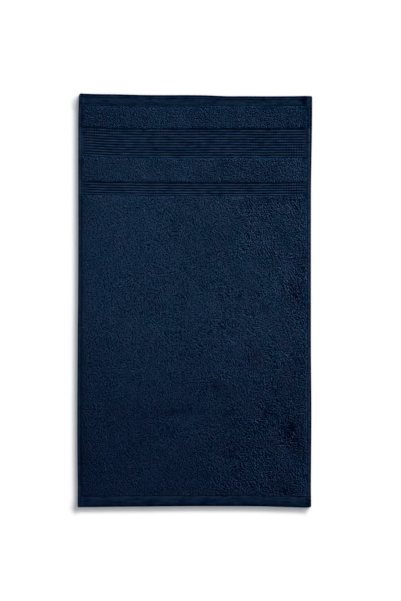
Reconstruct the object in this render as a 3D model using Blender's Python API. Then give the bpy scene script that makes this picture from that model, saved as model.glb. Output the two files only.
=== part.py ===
# A terry hand towel that lies flat, woven and hemmed as one cloth.
# Metres, +Z up. X runs across the towel and Y along it, with the ribbed borders near the +Y end.
# The underside lies on Z = 0, and the middle of the bounding box is on the Z axis.

import math
from bisect import bisect
from collections import namedtuple

import bmesh
import bpy

MM = 0.001

NODE = "towel_cloth"
WIDTH = 400 * MM  # between the side edges, halfway along

# The cloth's zones, in order from the +Y end. The strip is what is plain inside a hem's sewing or before the ribs
Zone = namedtuple("Zone", "kind length ribs strip")
ZONES = (
    Zone("hem", 19.8 * MM, 0, 2.2 * MM),
    Zone("terry", 37.2 * MM, 0, 0.0),
    Zone("border", 49.6 * MM, 11, 1.6 * MM),
    Zone("terry", 42.8 * MM, 0, 0.0),
    Zone("border", 22.8 * MM, 5, 2.1 * MM),
    Zone("terry", 514.9 * MM, 0, 0.0),
    Zone("hem", 18.7 * MM, 0, 0.9 * MM),
)
WIDE_BORDER, NARROW_BORDER = 2, 4  # places in the list above
LENGTH = sum(zone.length for zone in ZONES)

# Heights of the top face, measured from the underside
TERRY_TOP = 3.4 * MM
SHOULDER = 3.0 * MM  # on the way up to it
FOOT_TOP = 2.0 * MM  # where the pile stops
HEM_TOP = 2.5 * MM
HEM_RIM = 2.2 * MM  # at the folded edge
STITCH_TOP = 2.0 * MM  # in the groove that the hem's sewing pulls in
CORNER_EXTRA = 0.4 * MM  # the end hem lies over the side hem
RIB_TOP = 2.6 * MM
GROOVE_TOP = 1.8 * MM
BORDER_RECESS = 0.8 * MM  # a border has no pile below it, so it stays off the table

# Widths of the forms along an edge
LEFT_HEM = 7.0 * MM
RIGHT_HEM = 7.2 * MM
EDGE_ROLL = 0.9 * MM  # how far the folded edge bulges past its faces
HEM_CROWN = 3.0 * MM  # from the edge to the hem's full thickness
SIDE_STRIP = 1.2 * MM  # from the inner line of a side hem to its sewing
STITCH_HALF = 1.3 * MM  # from the middle of that groove to the hem's full thickness
SHOULDER_INSET = 1.2 * MM  # from the end of the pile to its shoulder
PILE_INSET = 4.0 * MM  # and to its full height
RIB_TAIL = 1.0 * MM  # how much of the last groove the next pile covers
RIB_FLAT = 0.36  # share of a rib's pitch that its top takes up

# Spacing of the points where the cloth is plain
COLUMN_STEP = 15 * MM
ROW_STEP = 17 * MM

# How far each woven line lies towards +Y of straight, by distance from the left edge
Line = namedtuple("Line", "across end wide_border narrow_border other_end")
LINES = (
    Line(0 * MM, 3.8 * MM, 2.9 * MM, 2.1 * MM, -1.7 * MM),
    Line(20 * MM, 3.0 * MM, 2.7 * MM, 2.1 * MM, -1.6 * MM),
    Line(40 * MM, 2.6 * MM, 1.6 * MM, 1.6 * MM, -1.4 * MM),
    Line(60 * MM, 2.4 * MM, 0.6 * MM, 1.2 * MM, -1.1 * MM),
    Line(85 * MM, 1.8 * MM, 0.2 * MM, 1.0 * MM, -0.9 * MM),
    Line(115 * MM, 1.1 * MM, 0.0 * MM, 0.4 * MM, -0.7 * MM),
    Line(150 * MM, 0.9 * MM, -0.1 * MM, 0.2 * MM, -0.3 * MM),
    Line(185 * MM, 1.0 * MM, -0.2 * MM, 0.0 * MM, 0.0 * MM),
    Line(220 * MM, 0.5 * MM, 0.1 * MM, 0.0 * MM, 0.1 * MM),
    Line(255 * MM, -0.9 * MM, 0.2 * MM, 0.1 * MM, 0.0 * MM),
    Line(290 * MM, -0.9 * MM, 0.0 * MM, 0.1 * MM, 0.0 * MM),
    Line(320 * MM, -1.1 * MM, -0.4 * MM, 0.2 * MM, -0.4 * MM),
    Line(350 * MM, -1.0 * MM, -0.2 * MM, 0.3 * MM, -1.3 * MM),
    Line(375 * MM, -0.8 * MM, 0.0 * MM, 0.7 * MM, -2.0 * MM),
    Line(390 * MM, -0.5 * MM, 0.0 * MM, 0.9 * MM, -2.4 * MM),
    Line(400 * MM, -0.9 * MM, 0.0 * MM, 0.9 * MM, -1.6 * MM),
)

# How far each side edge lies outside its straight line, by distance from the +Y end
Side = namedtuple("Side", "along left right")
SIDES = (
    Side(0 * MM, -2.4 * MM, 1.9 * MM),
    Side(4 * MM, -1.6 * MM, 2.1 * MM),
    Side(9 * MM, -1.1 * MM, 2.1 * MM),
    Side(20 * MM, -0.5 * MM, 2.1 * MM),
    Side(50 * MM, 0.0 * MM, 1.9 * MM),
    Side(70 * MM, 0.0 * MM, 1.6 * MM),
    Side(110 * MM, 0.0 * MM, 0.9 * MM),
    Side(155 * MM, 0.0 * MM, 0.2 * MM),
    Side(260 * MM, 0.0 * MM, 0.0 * MM),
    Side(340 * MM, 0.3 * MM, 0.0 * MM),
    Side(400 * MM, 0.9 * MM, 0.0 * MM),
    Side(450 * MM, 1.2 * MM, 0.1 * MM),
    Side(530 * MM, 1.6 * MM, 0.8 * MM),
    Side(580 * MM, 1.7 * MM, 0.7 * MM),
    Side(630 * MM, 1.5 * MM, 0.3 * MM),
    Side(670 * MM, 1.0 * MM, 0.0 * MM),
    Side(706 * MM, 1.2 * MM, 0.4 * MM),
)

# Soft swells of the pile: wavelengths across and along, height, and start in turns
Swell = namedtuple("Swell", "across along height start")
SWELLS = (
    Swell(310 * MM, 520 * MM, 0.16 * MM, 0.10),
    Swell(-170 * MM, 230 * MM, 0.13 * MM, 0.45),
    Swell(96 * MM, 140 * MM, 0.10 * MM, 0.80),
    Swell(-61 * MM, 83 * MM, 0.09 * MM, 0.25),
)

# Where the pile is pressed down: middle from the left edge and from the +Y end, half sizes, depth
Dent = namedtuple("Dent", "across along half_width half_length depth")
DENTS = (
    Dent(348 * MM, 179 * MM, 42 * MM, 9 * MM, 0.45 * MM),
    Dent(365 * MM, 578 * MM, 18 * MM, 26 * MM, 0.6 * MM),
    Dent(325 * MM, 544 * MM, 15 * MM, 15 * MM, 0.4 * MM),
    Dent(296 * MM, 451 * MM, 16 * MM, 18 * MM, 0.4 * MM),
    Dent(370 * MM, 320 * MM, 14 * MM, 38 * MM, 0.3 * MM),
    Dent(176 * MM, 541 * MM, 42 * MM, 14 * MM, 0.3 * MM),
    Dent(240 * MM, 503 * MM, 18 * MM, 16 * MM, 0.3 * MM),
    Dent(267 * MM, 606 * MM, 20 * MM, 18 * MM, 0.3 * MM),
    Dent(353 * MM, 680 * MM, 24 * MM, 12 * MM, 0.4 * MM),
)
DENT_FALL = 1.5  # how fast a dent fades out, at its half size

# The uneven line where a pile band stops: wavelength, height and start in turns
Wander = namedtuple("Wander", "across height start")
FRAY = (
    Wander(71 * MM, 0.5 * MM, 0.0),
    Wander(43 * MM, 0.3 * MM, 0.3),
    Wander(29 * MM, 0.2 * MM, 0.0),
)
FRAY_AT_BORDER, FRAY_AT_START = 1.0, 0.6  # a band's lower end wanders more than its upper one

NAVY = (0.0045, 0.0135, 0.036, 1.0)
ROUGHNESS = 0.95
SHARP_FROM = math.radians(50)

# A column of points across the towel: its height in a side hem, and how much of the pile or the ribs it has
Column = namedtuple("Column", "across height pile ribs")
# A row of points along the towel: its height away from the sides, above and below, and its share of fray
Row = namedtuple("Row", "along kind height recess fray")


def slope(points, i):
    before, after = points[max(i - 1, 0)], points[min(i + 1, len(points) - 1)]
    return (after[1] - before[1]) / (after[0] - before[0])


def curve_at(points, at):
    """The value at one place on a smooth curve through (place, value) points."""
    at = min(max(at, points[0][0]), points[-1][0])
    i = min(bisect([place for place, _ in points], at), len(points) - 1) - 1
    (low, before), (high, after) = points[i], points[i + 1]
    gap = high - low
    share = (at - low) / gap
    rest = 1 - share
    value = before * rest * rest * (1 + 2 * share) + after * share * share * (3 - 2 * share)
    return value + gap * share * rest * (slope(points, i) * rest - slope(points, i + 1) * share)


def side_columns(hem):
    """From a side edge to where the pile is full, with distances from that edge."""
    return [
        Column(EDGE_ROLL, HEM_RIM, 0.0, 0.0),
        Column(HEM_CROWN, HEM_TOP, 0.0, 0.0),
        Column(hem - SIDE_STRIP, STITCH_TOP, 0.0, 0.0),
        Column(hem, FOOT_TOP, 0.0, 0.0),
        Column(hem + SHOULDER_INSET, FOOT_TOP, (SHOULDER - FOOT_TOP) / (TERRY_TOP - FOOT_TOP), 0.0),
        Column(hem + PILE_INSET, FOOT_TOP, 1.0, 1.0),
    ]


def all_columns():
    left = side_columns(LEFT_HEM)
    right = [column._replace(across=WIDTH - column.across) for column in side_columns(RIGHT_HEM)]
    start, end = left[-1].across, right[-1].across
    count = round((end - start) / COLUMN_STEP)
    places = [start + (end - start) * i / count for i in range(1, count)]
    return left + [Column(across, FOOT_TOP, 1.0, 1.0) for across in places] + right[::-1]


def hem_rows(length, strip):
    """From the outer edge of an end hem to its sewing."""
    return [
        Row(EDGE_ROLL, "hem", HEM_RIM, 0.0, 0.0),
        Row(HEM_CROWN, "hem", HEM_TOP, 0.0, 0.0),
        Row(length - strip - STITCH_HALF, "hem", HEM_TOP, 0.0, 0.0),
        Row(length - strip, "hem", STITCH_TOP, 0.0, 0.0),
    ]


def last_hem_rows(length, strip):
    rows = hem_rows(length, strip) + [Row(length, "hem", FOOT_TOP, 0.0, FRAY_AT_START)]
    return [row._replace(along=length - row.along) for row in rows[::-1]]


def terry_rows(length):
    start, end = PILE_INSET, length - PILE_INSET
    count = max(2, round((end - start) / ROW_STEP))
    places = [start + (end - start) * i / count for i in range(count + 1)]
    foot = Row(0.0, "terry", FOOT_TOP, 0.0, FRAY_AT_START)
    first = Row(SHOULDER_INSET, "terry", SHOULDER, 0.0, FRAY_AT_START)
    last = Row(length - SHOULDER_INSET, "terry", SHOULDER, 0.0, FRAY_AT_BORDER)
    return [foot, first] + [Row(along, "terry", TERRY_TOP, 0.0, 0.0) for along in places] + [last]


def border_rows(length, ribs, strip):
    """Ribs run across the towel, each a flat-topped ridge between two grooves."""
    pitch = (length - strip + RIB_TAIL) / ribs
    rows = [Row(0.0, "border", GROOVE_TOP, 0.0, FRAY_AT_BORDER)]
    for rib in range(ribs):
        groove = strip + rib * pitch
        middle = groove + pitch / 2
        rows.append(Row(groove, "border", GROOVE_TOP, BORDER_RECESS, 0.0))
        rows.append(Row(middle - RIB_FLAT * pitch / 2, "border", RIB_TOP, BORDER_RECESS, 0.0))
        rows.append(Row(middle + RIB_FLAT * pitch / 2, "border", RIB_TOP, BORDER_RECESS, 0.0))
    return rows


def all_rows():
    rows, start = [], 0.0
    for zone in ZONES:
        if zone.kind == "terry":
            made = terry_rows(zone.length)
        elif zone.kind == "border":
            made = border_rows(zone.length, zone.ribs, zone.strip)
        else:
            make_hem = last_hem_rows if rows else hem_rows
            made = make_hem(zone.length, zone.strip)
        rows += [row._replace(along=start + row.along) for row in made]
        start += zone.length
    return rows


def zone_middle(place):
    return sum(zone.length for zone in ZONES[:place]) + ZONES[place].length / 2


def line_shift(across, along):
    """How far the weave at this place lies towards +Y of straight."""
    places = (0.0, zone_middle(WIDE_BORDER), zone_middle(NARROW_BORDER), LENGTH)
    shifts = [curve_at([(line.across, line[1 + i]) for line in LINES], across) for i in range(4)]
    return curve_at(list(zip(places, shifts)), along)


def side_shift(across, along):
    """How far the weave at this place lies towards +X of straight. The right edge wanders within its hem alone."""
    left = curve_at([(side.along, side.left) for side in SIDES], along)
    right = curve_at([(side.along, side.right) for side in SIDES], along)
    in_right_hem = max(0.0, 1 - (WIDTH - across) / RIGHT_HEM)
    return right * in_right_hem - left * (1 - across / WIDTH)


def fray(across):
    return sum(wave.height * math.sin(math.tau * (across / wave.across + wave.start)) for wave in FRAY)


def pile_shape(across, along):
    """Swells less dents, on top of the pile's even height."""
    height = 0.0
    for swell in SWELLS:
        turn = across / swell.across + along / swell.along + swell.start
        height += swell.height * math.sin(math.tau * turn)
    for dent in DENTS:
        far = math.hypot(
            (across - dent.across) / dent.half_width,
            (along - dent.along) / dent.half_length,
        )
        height -= dent.depth * math.exp(-DENT_FALL * far * far)
    return height


def top_height(column, row):
    if row.kind == "hem":
        return row.height + CORNER_EXTRA * (1 - column.pile) * row.height / HEM_TOP
    if row.kind == "border":
        return column.height + (row.height - column.height) * column.ribs
    full = column.pile * (row.height - FOOT_TOP) / (TERRY_TOP - FOOT_TOP)
    height = column.height + (row.height - column.height) * column.pile
    return height + pile_shape(column.across, row.along) * full


def place_in_cloth(column, row):
    along = row.along - row.fray * fray(column.across) * column.pile
    x = column.across - WIDTH / 2 + side_shift(column.across, along)
    y = LENGTH / 2 - along + line_shift(column.across, along)
    return x, y


def lay_face(bm, columns, rows):
    """The top face, a grid with its points in their places. Returns each point's column and row."""
    last_column, last_row = len(columns) - 1, len(rows) - 1
    grid = bmesh.ops.create_grid(bm, x_segments=last_column, y_segments=last_row, size=0.5)
    spots = {}
    for vert in grid["verts"]:
        column = columns[round((0.5 + vert.co.x) * last_column)]
        row = rows[round((0.5 - vert.co.y) * last_row)]
        vert.co = (*place_in_cloth(column, row), top_height(column, row))
        spots[vert] = (column, row)
    return spots


def add_underside(bm, spots):
    """A copy of the face, turned over and set down on Z = 0, or a little higher at the borders."""
    copied = bmesh.ops.duplicate(bm, geom=bm.verts[:] + bm.edges[:] + bm.faces[:])
    for vert, (column, row) in spots.items():
        copied["vert_map"][vert].co.z = row.recess * column.ribs
    turned = [item for item in copied["geom"] if isinstance(item, bmesh.types.BMFace)]
    bmesh.ops.reverse_faces(bm, faces=turned)


def roll_edges(bm):
    """Joins the two faces round the outline with a wall that bulges like a folded edge."""
    rims = [edge for edge in bm.edges if edge.is_boundary]
    before = set(bm.edges)
    bmesh.ops.bridge_loops(bm, edges=rims)
    walls = [edge for edge in bm.edges if edge not in before]
    made = bmesh.ops.subdivide_edges(bm, edges=walls, cuts=1)
    middles = [item for item in made["geom_inner"] if isinstance(item, bmesh.types.BMVert)]
    bm.normal_update()
    pushes = [EDGE_ROLL * vert.normal for vert in middles]
    for vert, push in zip(middles, pushes):
        vert.co += push


def centre_outline(bm):
    """Sets the middle of the bounding box on the Z axis."""
    for axis in (0, 1):
        values = [vert.co[axis] for vert in bm.verts]
        middle = (min(values) + max(values)) / 2
        for vert in bm.verts:
            vert.co[axis] -= middle


def make_material():
    material = bpy.data.materials.new("navy_cotton")
    material.use_nodes = True
    shader = material.node_tree.nodes["Principled BSDF"]
    shader.inputs["Base Color"].default_value = NAVY
    shader.inputs["Roughness"].default_value = ROUGHNESS
    shader.inputs["Metallic"].default_value = 0.0
    return material


def make_towel():
    bm = bmesh.new()
    spots = lay_face(bm, all_columns(), all_rows())
    add_underside(bm, spots)
    roll_edges(bm)
    centre_outline(bm)
    bmesh.ops.recalc_face_normals(bm, faces=bm.faces)
    mesh = bpy.data.meshes.new(NODE)
    bm.to_mesh(mesh)
    bm.free()
    mesh.shade_smooth()
    mesh.set_sharp_from_angle(angle=SHARP_FROM)
    mesh.materials.append(make_material())
    towel = bpy.data.objects.new(NODE, mesh)
    bpy.context.scene.collection.objects.link(towel)


def main():
    for old in list(bpy.data.objects):
        bpy.data.objects.remove(old)
    make_towel()


main()
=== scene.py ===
import math

import bpy
import numpy as np
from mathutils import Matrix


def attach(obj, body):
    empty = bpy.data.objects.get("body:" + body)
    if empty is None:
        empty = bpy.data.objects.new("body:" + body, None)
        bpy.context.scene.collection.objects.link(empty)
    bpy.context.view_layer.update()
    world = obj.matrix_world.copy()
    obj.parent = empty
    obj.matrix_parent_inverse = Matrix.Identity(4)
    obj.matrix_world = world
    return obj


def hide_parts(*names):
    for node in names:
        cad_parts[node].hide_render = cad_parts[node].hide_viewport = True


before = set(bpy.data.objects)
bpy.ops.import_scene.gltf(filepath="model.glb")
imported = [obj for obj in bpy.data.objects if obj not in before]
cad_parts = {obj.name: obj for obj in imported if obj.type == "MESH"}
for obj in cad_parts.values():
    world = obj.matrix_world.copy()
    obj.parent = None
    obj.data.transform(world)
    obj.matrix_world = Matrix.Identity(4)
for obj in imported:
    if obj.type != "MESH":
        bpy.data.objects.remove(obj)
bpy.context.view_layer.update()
mm = 0.001

# the cloth as it is woven and hemmed, in order from the +Y end
cloth = {
    "width": 400 * mm,
    "zones": [
        ("hem", 19.8 * mm, 0, 2.2 * mm),  # kind, length, ribs, plain strip by its sewing or its first rib
        ("terry", 37.2 * mm, 0, 0),
        ("border", 49.6 * mm, 11, 1.6 * mm),
        ("terry", 42.8 * mm, 0, 0),
        ("border", 22.8 * mm, 5, 2.1 * mm),
        ("terry", 514.9 * mm, 0, 0),
        ("hem", 18.7 * mm, 0, 0.9 * mm),
    ],
    "leftHem": 7.0 * mm,
    "rightHem": 7.2 * mm,
    "sideStitch": 1.5 * mm,  # from the inner line of a side hem to its sewing
    "ribTail": 1.0 * mm,  # how much of the last groove the next pile covers
    "startFray": 0.6,  # how frayed a pile zone's start is, beside its end
    "seed": 7203,
}
starts = np.cumsum([0.0] + [zone[1] for zone in cloth["zones"]])
clothWidth, clothLength = cloth["width"], float(starts[-1])

# how far each woven line lies towards +Y of straight: across, top end, wide border, narrow border, other end
lineTable = np.array([
    (0, 3.8, 2.9, 2.1, -1.7),
    (20, 3.0, 2.7, 2.1, -1.6),
    (40, 2.6, 1.6, 1.6, -1.4),
    (60, 2.4, 0.6, 1.2, -1.1),
    (85, 1.8, 0.2, 1.0, -0.9),
    (115, 1.1, 0.0, 0.4, -0.7),
    (150, 0.9, -0.1, 0.2, -0.3),
    (185, 1.0, -0.2, 0.0, 0.0),
    (220, 0.5, 0.1, 0.0, 0.1),
    (255, -0.9, 0.2, 0.1, 0.0),
    (290, -0.9, 0.0, 0.1, 0.0),
    (320, -1.1, -0.4, 0.2, -0.4),
    (350, -1.0, -0.2, 0.3, -1.3),
    (375, -0.8, 0.0, 0.7, -2.0),
    (390, -0.5, 0.0, 0.9, -2.4),
    (400, -0.9, 0.0, 0.9, -1.6),
]) * mm

# how far the side edges lie outside their straight lines: along, left, right
sideTable = np.array([
    (0, -2.4, 1.9),
    (4, -1.6, 2.1),
    (9, -1.1, 2.1),
    (20, -0.5, 2.1),
    (50, 0.0, 1.9),
    (70, 0.0, 1.6),
    (110, 0.0, 0.9),
    (155, 0.0, 0.2),
    (260, 0.0, 0.0),
    (340, 0.3, 0.0),
    (400, 0.9, 0.0),
    (450, 1.2, 0.1),
    (530, 1.6, 0.8),
    (580, 1.7, 0.7),
    (630, 1.5, 0.3),
    (670, 1.0, 0.0),
    (706, 1.2, 0.4),
]) * mm

# soft swells of the pile: wavelength across and along, height, start in turns
swells = [
    (310 * mm, 520 * mm, 0.16 * mm, 0.10),
    (-170 * mm, 230 * mm, 0.13 * mm, 0.45),
    (96 * mm, 140 * mm, 0.10 * mm, 0.80),
    (-61 * mm, 83 * mm, 0.09 * mm, 0.25),
]

# where the pile is pressed down: across, along, half width, half length, depth
dents = np.array([
    (348, 179, 42, 9, 0.28),
    (365, 578, 18, 26, 0.6),
    (325, 544, 15, 15, 0.4),
    (296, 451, 16, 18, 0.4),
    (372, 337, 14, 26, 0.45),
    (336, 503, 14, 14, 0.35),
    (176, 541, 42, 14, 0.3),
    (240, 503, 18, 16, 0.3),
    (267, 606, 20, 18, 0.3),
    (353, 680, 24, 12, 0.4),
]) * mm

# the uneven line where a pile band stops: wavelength, height, start in turns
frayWaves = [(71 * mm, 0.5 * mm, 0.0), (43 * mm, 0.3 * mm, 0.3), (29 * mm, 0.2 * mm, 0.0)]


# a smooth curve through the rows of a table, for many places at once
def curveAt(places, values, at):
    at = np.clip(at, places[0], places[-1])
    order = np.arange(len(places))
    before = np.maximum(order - 1, 0)
    after = np.minimum(order + 1, len(places) - 1)
    gaps = places[after] - places[before]
    if values.ndim == 1:
        values = np.repeat(values[:, None], len(at), axis=1)
    slopes = (values[after] - values[before]) / gaps[:, None]
    i = np.clip(np.searchsorted(places, at, side="right") - 1, 0, len(places) - 2)
    each = np.arange(len(at))
    span = places[i + 1] - places[i]
    share = (at - places[i]) / span
    rest = 1 - share
    low, high = values[i, each], values[i + 1, each]
    value = low * rest**2 * (1 + 2 * share) + high * share**2 * (3 - 2 * share)
    return value + span * share * rest * (slopes[i, each] * rest - slopes[i + 1, each] * share)


def lineShift(across, along):
    shifts = np.array([curveAt(lineTable[:, 0], lineTable[:, k], across) for k in (1, 2, 3, 4)])
    middles = [(starts[k] + starts[k + 1]) / 2 for k in (2, 4)]
    return curveAt(np.array([0.0, *middles, clothLength]), shifts, along)


def sideShift(across, along):
    left = curveAt(sideTable[:, 0], sideTable[:, 1], along)
    right = curveAt(sideTable[:, 0], sideTable[:, 2], along)
    inRightHem = np.maximum(0, 1 - (clothWidth - across) / cloth["rightHem"])
    return right * inRightHem - left * (1 - across / clothWidth)


def rawPlace(across, along):
    x = across - clothWidth / 2 + sideShift(across, along)
    return x, clothLength / 2 - along + lineShift(across, along)


def outlineMiddle():
    steps = np.linspace(0, 1, 400)
    acrossEdge = np.concatenate([steps * clothWidth, steps * clothWidth, 0 * steps, 0 * steps + clothWidth])
    alongEdge = np.concatenate([0 * steps, 0 * steps + clothLength, steps * clothLength, steps * clothLength])
    x, y = rawPlace(acrossEdge, alongEdge)
    return (x.min() + x.max()) / 2, (y.min() + y.max()) / 2


middleX, middleY = outlineMiddle()


def clothPlace(across, along):
    x, y = rawPlace(across, along)
    return x - middleX, y - middleY


def fray(across):
    return sum(height * np.sin(math.tau * (across / wave + start)) for wave, height, start in frayWaves)


# a soft round spot, 1 in its middle and about 0.2 at its half width and half length
def spotShare(across, along, spot):
    far = np.hypot((across - spot[0]) / spot[2], (along - spot[1]) / spot[3])
    return np.exp(-1.5 * far**2)


def dentDepth(across, along):
    return sum(dent[4] * spotShare(across, along, dent) for dent in dents)


def pileShape(across, along):
    height = -dentDepth(across, along)
    for waveAcross, waveAlong, high, start in swells:
        height = height + high * np.sin(math.tau * (across / waveAcross + along / waveAlong + start))
    return height


# seeded noise with soft bumps: each kind has a size, a strength that it seldom passes, and its own number
def softNoise(x, y, kind):
    size, strength, number = kind
    wide = 512  # lattice points along a side, after which the noise repeats
    lattice = np.random.default_rng(cloth["seed"] + number).uniform(-1.5, 1.5, (wide, wide))
    u, v = x / size + 100.5, y / size + 100.5
    i, j = np.floor(u).astype(int), np.floor(v).astype(int)
    fu, fv = u - i, v - j
    fu, fv = fu * fu * (3 - 2 * fu), fv * fv * (3 - 2 * fv)
    i, j = i % wide, j % wide
    nextI, nextJ = (i + 1) % wide, (j + 1) % wide
    low = lattice[i, j] * (1 - fu) + lattice[nextI, j] * fu
    high = lattice[i, nextJ] * (1 - fu) + lattice[nextI, nextJ] * fu
    return strength * (low * (1 - fv) + high * fv)


# small helpers for the modelling
def clearSelection():
    if bpy.context.mode != "OBJECT":
        bpy.ops.object.mode_set(mode="OBJECT")
    bpy.ops.object.select_all(action="DESELECT")


def startPiece(name):
    piece = bpy.context.active_object
    piece.name = piece.data.name = name
    return piece


def pickVerts(piece, chosen):
    bpy.ops.object.mode_set(mode="EDIT")
    bpy.ops.mesh.select_mode(type="VERT")
    bpy.ops.mesh.select_all(action="DESELECT")
    bpy.ops.object.mode_set(mode="OBJECT")
    for vert in piece.data.vertices:
        vert.select = chosen(vert.co)
    bpy.ops.object.mode_set(mode="EDIT")


def applyModifiers(piece):
    clearSelection()
    piece.select_set(True)
    bpy.context.view_layer.objects.active = piece
    for modifier in list(piece.modifiers):
        bpy.ops.object.modifier_apply(modifier=modifier.name)


def vertTable(mesh):
    table = np.empty(len(mesh.vertices) * 3)
    mesh.vertices.foreach_get("co", table)
    return table.reshape(-1, 3)


def setVerts(mesh, table):
    mesh.vertices.foreach_set("co", np.ascontiguousarray(table, float).ravel())
    mesh.update()


def addValues(mesh, name, kind, values):
    layer = mesh.attributes.new(name, kind, "POINT")
    field = "value" if kind == "FLOAT" else "vector"
    layer.data.foreach_set(field, np.ascontiguousarray(values, np.float32).ravel())


def finishPiece(piece, material):
    piece.data.materials.clear()
    piece.data.materials.append(material)
    piece.data.polygons.foreach_set("material_index", [0] * len(piece.data.polygons))
    piece.data.shade_smooth()
    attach(piece, "root")


# materials: a wire is a socket that takes part in Python sums
class Wire:
    def __init__(self, tree, socket=None):
        self.tree = tree
        self.socket = socket

    def node(self, kind, settings=None, inputs=None, output=0):
        made = self.tree.nodes.new(kind)
        for name, value in (settings or {}).items():
            setattr(made, name, value)
        for name, value in (inputs or {}).items():
            if isinstance(value, Wire):
                self.tree.links.new(value.socket, made.inputs[name])
            else:
                made.inputs[name].default_value = value
        return Wire(self.tree, made.outputs[output] if len(made.outputs) else None)

    def attribute(self, name):
        return self.node("ShaderNodeAttribute", {"attribute_name": name}, output=2)

    def noise(self, place, scale, detail):
        return self.node("ShaderNodeTexNoise", None, {"Vector": place, "Scale": scale, "Detail": detail})

    def maths(self, operation, first, second=0.0):
        return self.node("ShaderNodeMath", {"operation": operation}, {0: first, 1: second})

    def __add__(self, other):
        return self.maths("ADD", self, other)

    def __sub__(self, other):
        return self.maths("SUBTRACT", self, other)

    def __rsub__(self, other):
        return self.maths("SUBTRACT", other, self)

    def __mul__(self, other):
        return self.maths("MULTIPLY", self, other)

    __radd__ = __add__
    __rmul__ = __mul__

    def sine(self):
        return self.maths("SINE", self)

    def within(self, low, high):
        return self.maths("MINIMUM", self.maths("MAXIMUM", self, low), high)

    def mixColours(self, first, second):
        return self.node("ShaderNodeMix", {"data_type": "RGBA"}, {0: self, 6: first, 7: second}, 2)

    def timesColour(self, other):
        settings = {"data_type": "RGBA", "blend_type": "MULTIPLY"}
        return self.node("ShaderNodeMix", settings, {0: 1.0, 6: self, 7: other}, 2)


def startMaterial(name, roughness, specular):
    material = bpy.data.materials.new(name)
    material.use_nodes = True
    tree = material.node_tree
    shader = tree.nodes["Principled BSDF"]
    shader.inputs["Roughness"].default_value = roughness
    shader.inputs["Specular IOR Level"].default_value = specular
    return material, shader, Wire(tree)


def feed(wire, shader, socketName):
    wire.tree.links.new(wire.socket, shader.inputs[socketName])


# stops of each dye: tone, colour
dye = {
    "pile": [
        (0.0, (0.0000, 0.0087, 0.0385)),
        (0.2, (0.0033, 0.0219, 0.0630)),
        (1.0, (0.0293, 0.0665, 0.1325)),
    ],
    "ground": [
        (0.000, (0.0000, 0.0012, 0.0113)),
        (0.075, (0.0000, 0.0042, 0.0176)),
        (0.240, (0.0036, 0.0112, 0.0266)),
        (0.750, (0.0134, 0.0289, 0.0590)),
        (1.000, (0.0183, 0.0377, 0.0750)),
    ],
    "groundTop": 2.0,  # the ground's tone at its last stop
    "teal": (0.80, 1.03, 1.00, 1.0),
    "indigo": (1.17, 0.97, 1.03, 1.0),
    "pressed": (1.45, 0.89, 0.83, 1.0),
    "shade": (0.00, 0.00, 0.14, 1.0),
    "pressedGain": 2.0,  # a pile pressed by half a millimetre has all of that colour
    "mottle": (34.0, 2.2),  # noise scale, for patches of about 30 mm, and its contrast
}


def dyedColour(wire, tone, stops):
    coloured = wire.node("ShaderNodeValToRGB", None, {"Fac": tone})
    marks = coloured.socket.node.color_ramp.elements
    while len(marks) < len(stops):
        marks.new(0.5)
    for mark, (place, colour) in zip(marks, stops):
        mark.position = place
        mark.color = (*colour, 1.0)
    place = wire.node("ShaderNodeTexCoord", output=3)
    scale, contrast = dye["mottle"]
    mottle = wire.noise(place, scale, 1.0)
    tint = ((mottle - 0.5) * contrast + 0.5).within(0.0, 1.0).mixColours(dye["teal"], dye["indigo"])
    pressed = wire.attribute("pressed")
    tint = (pressed * dye["pressedGain"]).within(0.0, 1.0).mixColours(tint, dye["pressed"])
    # painted shade: the colour is darkened towards a deep blue by the shade attribute
    paintedShade = wire.attribute("shade").mixColours(dye["shade"], (1.0, 1.0, 1.0, 1.0))
    return coloured.timesColour(tint).timesColour(paintedShade)


def makePileMaterial():
    material, shader, wire = startMaterial("navy_terry_loops", roughness=0.95, specular=0.0)
    feed(dyedColour(wire, wire.attribute("tone"), dye["pile"]), shader, "Base Color")
    return material


weave = {
    "yarn": 0.85 * mm,  # from yarn to yarn
    "checkShare": 0.35,  # how much the crossing yarns lift it, beside the slubs
    "slub": 420.0,  # noise scale of the yarn's own unevenness
    "depth": 0.12 * mm,
    "toneShare": 0.20,
    "toneFloor": 0.2,  # darker places stay a little uneven too
    "dash": (190.0, 2.0),  # noise scale and share, for ribs and hems that look broken up
    "dashStretch": (0.5, 1.8, 1.0),
    "ribCalm": 0.35,  # how much less of it the ribs show
    "tick": 4.4 * mm,  # from one warp line across the ribs to the next
    "tickShare": 0.45,
    "tickPatches": (22.0, 0.42, 6.0),  # where warp lines show: noise scale, start, steepness
}


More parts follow.
